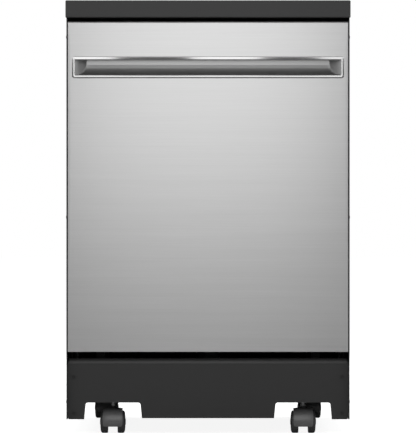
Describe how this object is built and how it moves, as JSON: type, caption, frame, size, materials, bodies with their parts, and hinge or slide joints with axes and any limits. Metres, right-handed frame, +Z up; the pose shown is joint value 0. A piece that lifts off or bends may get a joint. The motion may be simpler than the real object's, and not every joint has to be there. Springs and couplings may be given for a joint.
{
  "type": "portable dishwasher",
  "caption": "Portable dishwasher on swivel casters: steel drop-down door with a pocket handle, dark worktop, tub with sliding wire racks, spray arms, pumps and a counterbalanced hinge.",
  "frame": {"origin": "on the floor under the middle of the worktop's outline", "axes": "+Z up, -Y out of the door's face towards the user, +X to the user's right; 1 unit is 1 m"},
  "size_m": [0.616, 0.71, 0.938],
  "materials": {
    "stainless_door": "horizontally brushed stainless steel",
    "handle_trim": "polished bright frame round a satin grey pocket",
    "worktop": "fine-textured charcoal laminate with rounded edges",
    "cabinet_paint": "black satin paint on sheet steel",
    "kick_plastic": "charcoal satin paint with fine orange peel",
    "dark_plastic": "moulded black plastic, fine grain",
    "grey_plastic": "moulded grey plastic",
    "rack_coating": "nylon-coated steel wire",
    "tub_steel": "satin stainless tub",
    "bright_steel": "bright drawn steel",
    "galvanised": "galvanised sheet with faint spangle",
    "seal_rubber": "matt black elastomer",
    "caster_tread": "hard black nylon tread",
    "button_cap": "satin silver-grey caps"
  },
  "bodies": {
    "cabinet": {"worktop": "worktop", "left_side_panel": "cabinet_paint", "right_side_panel": "cabinet_paint", "rear_panel": "cabinet_paint", "cord_gland": "dark_plastic", "base_tray": "galvanised", "toe_kick": "kick_plastic", "toe_kick_screw_upper_left": "dark_plastic", "toe_kick_screw_upper_right": "dark_plastic", "toe_kick_screw_lower_left": "dark_plastic", "toe_kick_screw_lower_right": "dark_plastic", "tub": "tub_steel", "tub_gasket": "seal_rubber", "sump": "grey_plastic", "circulation_pump": "dark_plastic", "drain_pump": "dark_plastic", "inlet_valve": "dark_plastic", "heating_element": "bright_steel", "spray_conduit": "grey_plastic", "left_rack_rail": "tub_steel", "right_rack_rail": "tub_steel", "left_door_spring": "bright_steel", "right_door_spring": "bright_steel", "caster_front_left_stem": "bright_steel", "caster_front_right_stem": "bright_steel", "caster_rear_left_stem": "bright_steel", "caster_rear_right_stem": "bright_steel"},
    "door": {"door_outer_panel": "stainless_door", "door_liner": "tub_steel", "handle_pocket": "handle_trim", "control_fascia": "dark_plastic", "control_board": "dark_plastic", "dispenser": "grey_plastic", "left_hinge_arm": "galvanised", "right_hinge_arm": "galvanised"},
    "start_button": {"start_button": "button_cap"},
    "cycle_button": {"cycle_button": "button_cap"},
    "heated_dry_button": {"heated_dry_button": "button_cap"},
    "dispenser_lid": {"dispenser_lid": "grey_plastic"},
    "rinse_aid_cap": {"rinse_aid_cap": "dark_plastic"},
    "latch_hook": {"latch_hook": "bright_steel"},
    "filter": {"filter": "grey_plastic"},
    "float_dome": {"float_dome": "grey_plastic"},
    "lower_spray_arm": {"lower_spray_arm": "grey_plastic"},
    "lower_rack": {"lower_rack": "rack_coating"},
    "cutlery_basket": {"cutlery_basket": "grey_plastic"},
    "upper_rack": {"upper_rack": "rack_coating"},
    "middle_spray_arm": {"middle_spray_arm": "grey_plastic"},
    "caster_front_left": {"caster_front_left_hood": "dark_plastic"},
    "caster_front_left_wheel_left": {"caster_front_left_wheel_left": "caster_tread"},
    "caster_front_left_wheel_right": {"caster_front_left_wheel_right": "caster_tread"},
    "caster_front_right": {"caster_front_right_hood": "dark_plastic"},
    "caster_front_right_wheel_left": {"caster_front_right_wheel_left": "caster_tread"},
    "caster_front_right_wheel_right": {"caster_front_right_wheel_right": "caster_tread"},
    "caster_rear_left": {"caster_rear_left_hood": "dark_plastic"},
    "caster_rear_left_wheel_left": {"caster_rear_left_wheel_left": "caster_tread"},
    "caster_rear_left_wheel_right": {"caster_rear_left_wheel_right": "caster_tread"},
    "caster_rear_right": {"caster_rear_right_hood": "dark_plastic"},
    "caster_rear_right_wheel_left": {"caster_rear_right_wheel_left": "caster_tread"},
    "caster_rear_right_wheel_right": {"caster_rear_right_wheel_right": "caster_tread"}
  },
  "joints": [
    {"name": "door_hinge", "type": "hinge", "parent": "cabinet", "child": "door", "pos_m": [0, -0.3, 0.225], "axis": [1, 0, 0], "range_deg": [0, 90], "stiffness_Nm_per_rad": 18, "deforming": ["left_door_spring", "right_door_spring"]},
    {"name": "lower_rack_slide", "type": "slide", "parent": "cabinet", "child": "lower_rack", "axis": [0, -1, 0], "range_m": [0, 0.5]},
    {"name": "upper_rack_slide", "type": "slide", "parent": "cabinet", "child": "upper_rack", "axis": [0, -1, 0], "range_m": [0, 0.45]},
    {"name": "cutlery_basket_lift", "type": "slide", "parent": "lower_rack", "child": "cutlery_basket", "axis": [0, 0, 1], "range_m": [0, 0.11]},
    {"name": "lower_spray_arm_spin", "type": "hinge", "parent": "cabinet", "child": "lower_spray_arm", "pos_m": [0, -0.005, 0.262], "axis": [0, 0, 1], "continuous": true},
    {"name": "middle_spray_arm_spin", "type": "hinge", "parent": "upper_rack", "child": "middle_spray_arm", "pos_m": [0, -0.005, 0.545], "axis": [0, 0, 1], "continuous": true},
    {"name": "filter_twist", "type": "hinge", "parent": "cabinet", "child": "filter", "pos_m": [0.052, -0.005, 0.2], "axis": [0, 0, 1], "range_deg": [0, 45]},
    {"name": "float_lift", "type": "slide", "parent": "cabinet", "child": "float_dome", "axis": [0, 0, 1], "range_m": [0, 0.01]},
    {"name": "start_button_press", "type": "slide", "parent": "door", "child": "start_button", "axis": [0, 0, -1], "range_m": [0, 0.0012], "stiffness_N_per_m": 800},
    {"name": "cycle_button_press", "type": "slide", "parent": "door", "child": "cycle_button", "axis": [0, 0, -1], "range_m": [0, 0.0012], "stiffness_N_per_m": 800},
    {"name": "heated_dry_button_press", "type": "slide", "parent": "door", "child": "heated_dry_button", "axis": [0, 0, -1], "range_m": [0, 0.0012], "stiffness_N_per_m": 800},
    {"name": "dispenser_lid_slide", "type": "slide", "parent": "door", "child": "dispenser_lid", "axis": [0, 0, -1], "range_m": [0, 0.066]},
    {"name": "rinse_aid_cap_turn", "type": "hinge", "parent": "door", "child": "rinse_aid_cap", "pos_m": [0.045, -0.283, 0.6], "axis": [0, 1, 0], "range_deg": [0, 90]},
    {"name": "latch_hook_turn", "type": "hinge", "parent": "door", "child": "latch_hook", "pos_m": [0, -0.322, 0.882], "axis": [1, 0, 0], "range_deg": [-5, 0], "stiffness_Nm_per_rad": 2},
    {"name": "caster_front_left_swivel", "type": "hinge", "parent": "cabinet", "child": "caster_front_left", "pos_m": [-0.207, -0.272, 0.05], "axis": [0, 0, 1], "continuous": true},
    {"name": "caster_front_left_wheel_left_roll", "type": "hinge", "parent": "caster_front_left", "child": "caster_front_left_wheel_left", "pos_m": [-0.226, -0.29, 0.02469], "axis": [1, 0, 0], "continuous": true},
    {"name": "caster_front_left_wheel_right_roll", "type": "hinge", "parent": "caster_front_left", "child": "caster_front_left_wheel_right", "pos_m": [-0.188, -0.29, 0.02469], "axis": [1, 0, 0], "continuous": true},
    {"name": "caster_front_right_swivel", "type": "hinge", "parent": "cabinet", "child": "caster_front_right", "pos_m": [0.207, -0.272, 0.05], "axis": [0, 0, 1], "continuous": true},
    {"name": "caster_front_right_wheel_left_roll", "type": "hinge", "parent": "caster_front_right", "child": "caster_front_right_wheel_left", "pos_m": [0.188, -0.29, 0.02469], "axis": [1, 0, 0], "continuous": true},
    {"name": "caster_front_right_wheel_right_roll", "type": "hinge", "parent": "caster_front_right", "child": "caster_front_right_wheel_right", "pos_m": [0.226, -0.29, 0.02469], "axis": [1, 0, 0], "continuous": true},
    {"name": "caster_rear_left_swivel", "type": "hinge", "parent": "cabinet", "child": "caster_rear_left", "pos_m": [-0.237, 0.272, 0.05], "axis": [0, 0, 1], "continuous": true},
    {"name": "caster_rear_left_wheel_left_roll", "type": "hinge", "parent": "caster_rear_left", "child": "caster_rear_left_wheel_left", "pos_m": [-0.256, 0.254, 0.02469], "axis": [1, 0, 0], "continuous": true},
    {"name": "caster_rear_left_wheel_right_roll", "type": "hinge", "parent": "caster_rear_left", "child": "caster_rear_left_wheel_right", "pos_m": [-0.218, 0.254, 0.02469], "axis": [1, 0, 0], "continuous": true},
    {"name": "caster_rear_right_swivel", "type": "hinge", "parent": "cabinet", "child": "caster_rear_right", "pos_m": [0.237, 0.272, 0.05], "axis": [0, 0, 1], "continuous": true},
    {"name": "caster_rear_right_wheel_left_roll", "type": "hinge", "parent": "caster_rear_right", "child": "caster_rear_right_wheel_left", "pos_m": [0.218, 0.254, 0.02469], "axis": [1, 0, 0], "continuous": true},
    {"name": "caster_rear_right_wheel_right_roll", "type": "hinge", "parent": "caster_rear_right", "child": "caster_rear_right_wheel_right", "pos_m": [0.256, 0.254, 0.02469], "axis": [1, 0, 0], "continuous": true}
  ],
  "couplings": [
    {"joint": "upper_rack_slide", "follows": "door_hinge", "m_per_rad": 0.286},
    {"joint": "lower_rack_slide", "follows": "door_hinge", "m_per_rad": 0.085}
  ]
}
